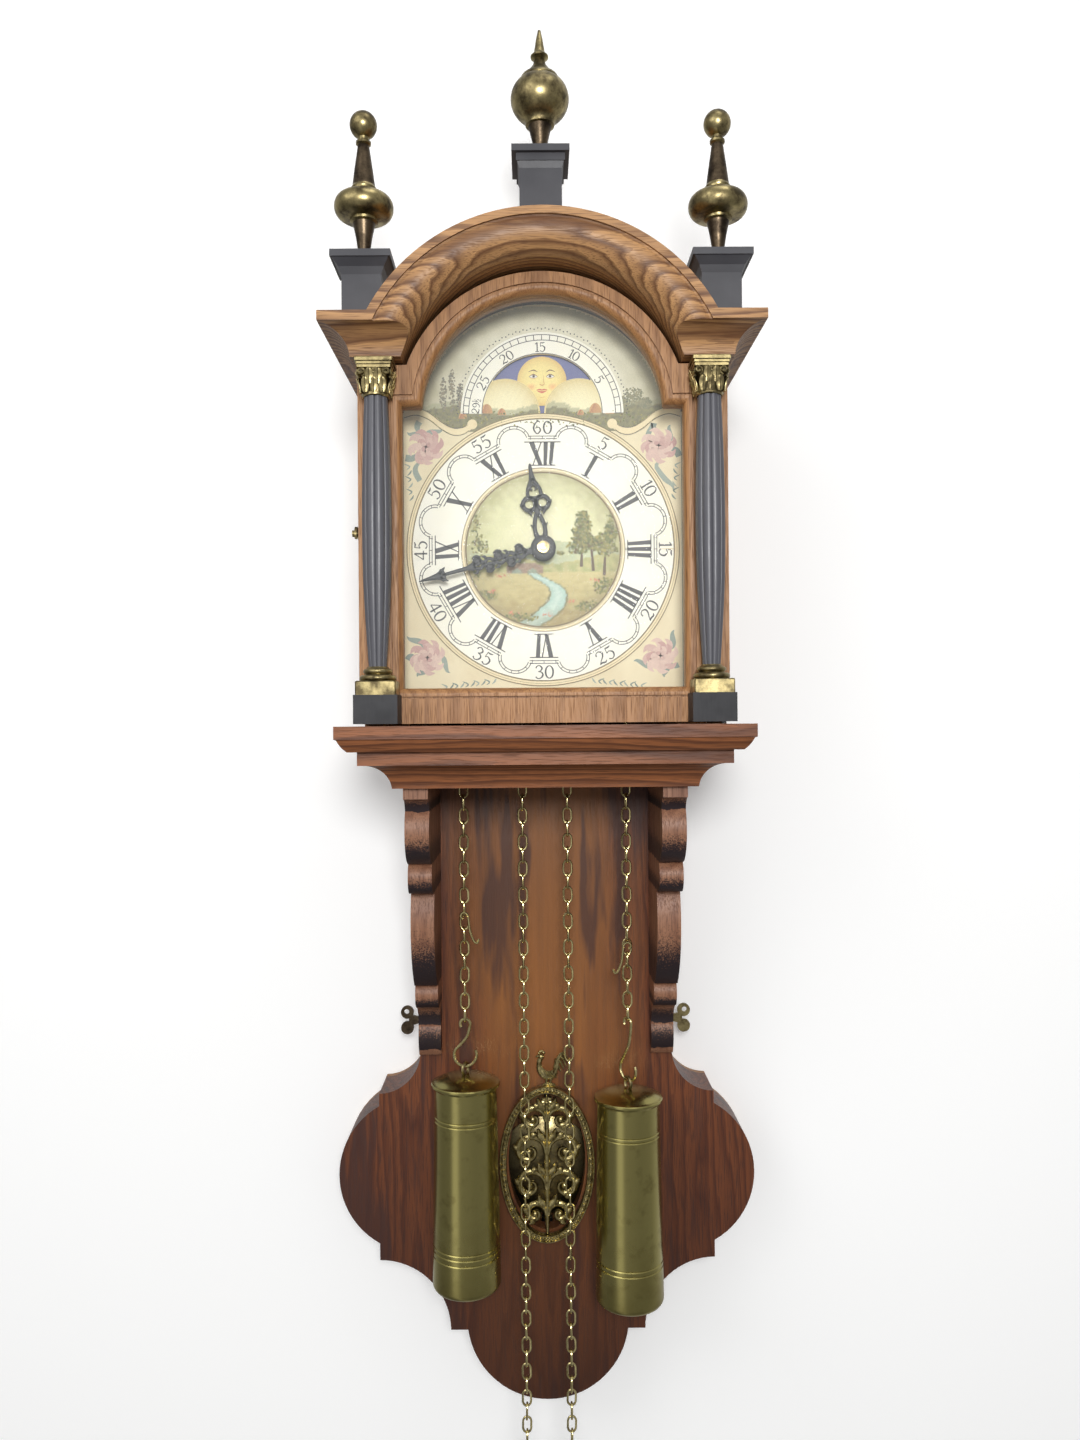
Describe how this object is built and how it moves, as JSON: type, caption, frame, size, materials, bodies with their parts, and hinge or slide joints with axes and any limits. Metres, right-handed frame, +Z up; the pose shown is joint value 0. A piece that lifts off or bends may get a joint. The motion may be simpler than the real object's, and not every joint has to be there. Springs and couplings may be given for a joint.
{
  "type": "dutch wall clock",
  "caption": "Small wall clock with an arched oak hood, glazed door between columns, moon dial, scalloped tail with a pendulum window and brass weights on chains.",
  "frame": {"origin": "centre of the hanging hole at the back panel's rear face, which is the wall plane", "axes": "+X to the right seen from the front, +Y towards the wall, +Z up; the clock faces -Y"},
  "size_m": [0.2086, 0.1228, 0.6754],
  "materials": {
    "oak": "oiled, satin",
    "red_oak": "oiled, satin",
    "dark_oak": "oiled, satin",
    "black_wood": "black lacquer, satin",
    "brass": "aged, satin",
    "dark_brass": "tarnished",
    "chain": "aged, satin",
    "steel": "plain",
    "hands": "black, satin",
    "dial": "painted, matt",
    "moon": "painted, matt",
    "glass": "clear, flat"
  },
  "bodies": {
    "case": {"back_panel": "oak", "hanger_plate": "steel", "side_panels": "oak", "roof_panel": "oak", "cornice": "oak", "base_moulding": "red_oak", "floor_board": "red_oak", "seat_board": "oak", "brackets": "oak", "tail_frame": "dark_oak", "tail_board": "dark_oak", "side_pedestals": "black_wood", "centre_pedestal": "black_wood", "side_finials": "brass", "centre_finial": "brass", "hinge_pins": "steel", "dial_plate": "dial", "front_plate": "brass", "back_plate": "brass", "plate_pillars": "brass", "suspension_cock": "brass", "bell": "brass", "pendulum_window": "brass"},
    "door": {"door_frame": "oak", "door_glass": "glass", "columns": "black_wood", "capitals": "brass", "column_bases": "brass", "column_blocks": "black_wood", "latch_pin": "brass"},
    "latch": {"latch_hook": "brass"},
    "moon": {"moon_disc": "moon"},
    "minute": {"minute_hand": "hands", "hand_nut": "brass", "centre_wheel": "brass"},
    "hour": {"hour_hand": "hands", "hour_wheel": "brass"},
    "motion": {"minute_wheel": "brass"},
    "going_great": {"going_great_wheel": "brass"},
    "third": {"third_wheel": "brass"},
    "escape": {"escape_wheel": "brass"},
    "anchor": {"anchor": "steel"},
    "pendulum": {"pendulum_rod": "steel", "pendulum_bob": "brass"},
    "strike_great": {"strike_great_wheel": "brass"},
    "hammer": {"hammer": "brass"},
    "wing_left": {"wing_screw_left": "dark_brass"},
    "wing_right": {"wing_screw_right": "brass"},
    "weight_left": {"weight_left": "brass", "s_hook_left": "chain", "weight_chain_left": "chain"},
    "free_left": {"free_chain_left": "chain"},
    "chain_wheel_left": {"sprocket_left": "brass", "chain_turn_left": "chain"},
    "weight_right": {"weight_right": "brass", "s_hook_right": "chain", "weight_chain_right": "chain"},
    "free_right": {"free_chain_right": "chain"},
    "chain_wheel_right": {"sprocket_right": "brass", "chain_turn_right": "chain"}
  },
  "joints": [
    {"name": "door_hinge", "type": "hinge", "parent": "case", "child": "door", "pos_m": [0.077, -0.1093, -0.15], "axis": [0, 0, 1], "range_deg": [0, 110]},
    {"name": "latch_pivot", "type": "hinge", "parent": "case", "child": "latch", "pos_m": [-0.081, -0.078, -0.0645], "axis": [1, 0, 0], "range_deg": [-100, 0]},
    {"name": "minute_arbor", "type": "hinge", "parent": "case", "child": "minute", "pos_m": [0, -0.05, -0.0693], "axis": [0, 1, 0], "continuous": true},
    {"name": "hour_pipe", "type": "hinge", "parent": "case", "child": "hour", "pos_m": [0, -0.07, -0.0693], "axis": [0, 1, 0], "continuous": true},
    {"name": "motion_arbor", "type": "hinge", "parent": "case", "child": "motion", "pos_m": [-0.00771, -0.065, -0.07849], "axis": [0, 1, 0], "continuous": true},
    {"name": "going_great_arbor", "type": "hinge", "parent": "case", "child": "going_great", "pos_m": [-0.0249, -0.047, -0.095], "axis": [0, 1, 0], "continuous": true},
    {"name": "third_arbor", "type": "hinge", "parent": "case", "child": "third", "pos_m": [0.01638, -0.04, -0.05461], "axis": [0, 1, 0], "continuous": true},
    {"name": "escape_arbor", "type": "hinge", "parent": "case", "child": "escape", "pos_m": [0, -0.03, -0.046], "axis": [0, 1, 0], "continuous": true},
    {"name": "moon_arbor", "type": "hinge", "parent": "case", "child": "moon", "pos_m": [0, -0.076, -0.0065], "axis": [0, 1, 0], "continuous": true},
    {"name": "pendulum_pivot", "type": "hinge", "parent": "case", "child": "pendulum", "pos_m": [0, -0.015, -0.032], "axis": [0, 1, 0], "range_deg": [-3, 3]},
    {"name": "anchor_arbor", "type": "hinge", "parent": "case", "child": "anchor", "pos_m": [0, -0.04, -0.032], "axis": [0, 1, 0], "range_deg": [-3, 3]},
    {"name": "strike_great_arbor", "type": "hinge", "parent": "case", "child": "strike_great", "pos_m": [0.0249, -0.037, -0.095], "axis": [0, 1, 0], "continuous": true},
    {"name": "hammer_arbor", "type": "hinge", "parent": "case", "child": "hammer", "pos_m": [0.031, -0.039, -0.038], "axis": [0, 1, 0], "range_deg": [0, 20]},
    {"name": "weight_slide_left", "type": "slide", "parent": "case", "child": "weight_left", "axis": [0, 0, 1], "range_m": [-0.0762, 0.01905], "deforming": ["weight_chain_left"]},
    {"name": "free_chain_slide_left", "type": "slide", "parent": "case", "child": "free_left", "axis": [0, 0, 1], "range_m": [-0.01905, 0.0762], "deforming": ["free_chain_left"]},
    {"name": "chain_wheel_arbor_left", "type": "hinge", "parent": "case", "child": "chain_wheel_left", "pos_m": [-0.0249, -0.055, -0.095], "axis": [0, 1, 0], "range_deg": [-310, 310]},
    {"name": "wing_turn_left", "type": "hinge", "parent": "case", "child": "wing_left", "pos_m": [-0.0632, -0.017, -0.3014], "axis": [1, 0, 0], "continuous": true},
    {"name": "weight_slide_right", "type": "slide", "parent": "case", "child": "weight_right", "axis": [0, 0, 1], "range_m": [-0.0762, 0.01905], "deforming": ["weight_chain_right"]},
    {"name": "free_chain_slide_right", "type": "slide", "parent": "case", "child": "free_right", "axis": [0, 0, 1], "range_m": [-0.01905, 0.0762], "deforming": ["free_chain_right"]},
    {"name": "chain_wheel_arbor_right", "type": "hinge", "parent": "case", "child": "chain_wheel_right", "pos_m": [0.0249, -0.055, -0.095], "axis": [0, 1, 0], "range_deg": [-310, 310]},
    {"name": "wing_turn_right", "type": "hinge", "parent": "case", "child": "wing_right", "pos_m": [0.0632, -0.017, -0.3014], "axis": [1, 0, 0], "continuous": true}
  ],
  "couplings": [
    {"joint": "hour_pipe", "follows": "minute_arbor", "ratio": 0.083333},
    {"joint": "motion_arbor", "follows": "minute_arbor", "ratio": -0.33333},
    {"joint": "going_great_arbor", "follows": "minute_arbor", "ratio": -0.2},
    {"joint": "third_arbor", "follows": "minute_arbor", "ratio": -9},
    {"joint": "escape_arbor", "follows": "minute_arbor", "ratio": 102},
    {"joint": "moon_arbor", "follows": "minute_arbor", "ratio": 0.00070621},
    {"joint": "anchor_arbor", "follows": "pendulum_pivot", "ratio": 1},
    {"joint": "free_chain_slide_left", "follows": "weight_slide_left", "ratio": -1},
    {"joint": "chain_wheel_arbor_left", "follows": "weight_slide_left", "rad_per_m": 70.677},
    {"joint": "free_chain_slide_right", "follows": "weight_slide_right", "ratio": -1},
    {"joint": "chain_wheel_arbor_right", "follows": "weight_slide_right", "rad_per_m": -70.677}
  ]
}
